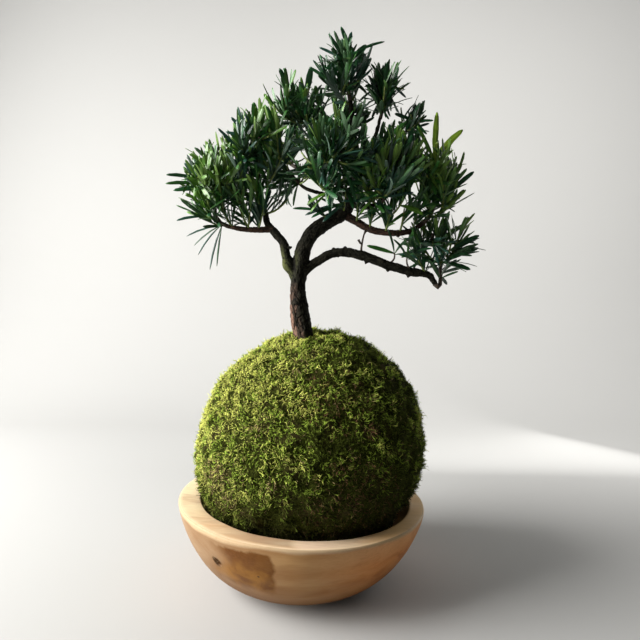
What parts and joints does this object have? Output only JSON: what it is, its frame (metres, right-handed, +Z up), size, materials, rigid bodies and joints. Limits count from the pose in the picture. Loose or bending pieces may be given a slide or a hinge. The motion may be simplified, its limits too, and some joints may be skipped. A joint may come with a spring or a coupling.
{
  "type": "podocarpus",
  "caption": "Small podocarpus tree with a curved trunk and strap leaves, growing from a ball of moss that sits in a thick carved wooden bowl.",
  "frame": {"origin": "middle of the bowl's flat foot", "axes": "+Z up; +X to the right seen from the front, the way the low bough reaches; +Y away from the front"},
  "size_m": [0.3113, 0.24, 0.5445],
  "materials": {
    "bowl_wood": "pale carved wood, satin oil",
    "moss": "damp living moss, matte",
    "bark": "rough grey-brown bark",
    "young_bark": "thin red-brown bark",
    "leaves": "dark green leather-like leaves with a soft sheen"
  },
  "bodies": {
    "root": {"bowl": "bowl_wood", "moss_ball": "moss", "trunk": "bark", "bough_left": "bark", "bough_left_reach": "young_bark", "bough_right": "bark", "bough_middle": "young_bark", "bough_upper_left": "bark", "bough_upper_right": "bark", "bough_right_rise": "bark", "bough_front": "bark", "bough_front_right": "bark", "bough_inner_left": "bark", "bough_back_left": "bark", "bough_back": "bark", "bough_back_right": "bark", "leaves_far_left": "leaves", "leaves_left": "leaves", "leaves_upper_left": "leaves", "leaves_top": "leaves", "leaves_upper_right": "leaves", "leaves_right_rise": "leaves", "leaves_front": "leaves", "leaves_front_right": "leaves", "leaves_right": "leaves", "leaves_low_right": "leaves", "leaves_inner_left": "leaves", "leaves_back_left": "leaves", "leaves_back": "leaves", "leaves_back_right": "leaves"}
  },
  "joints": []
}
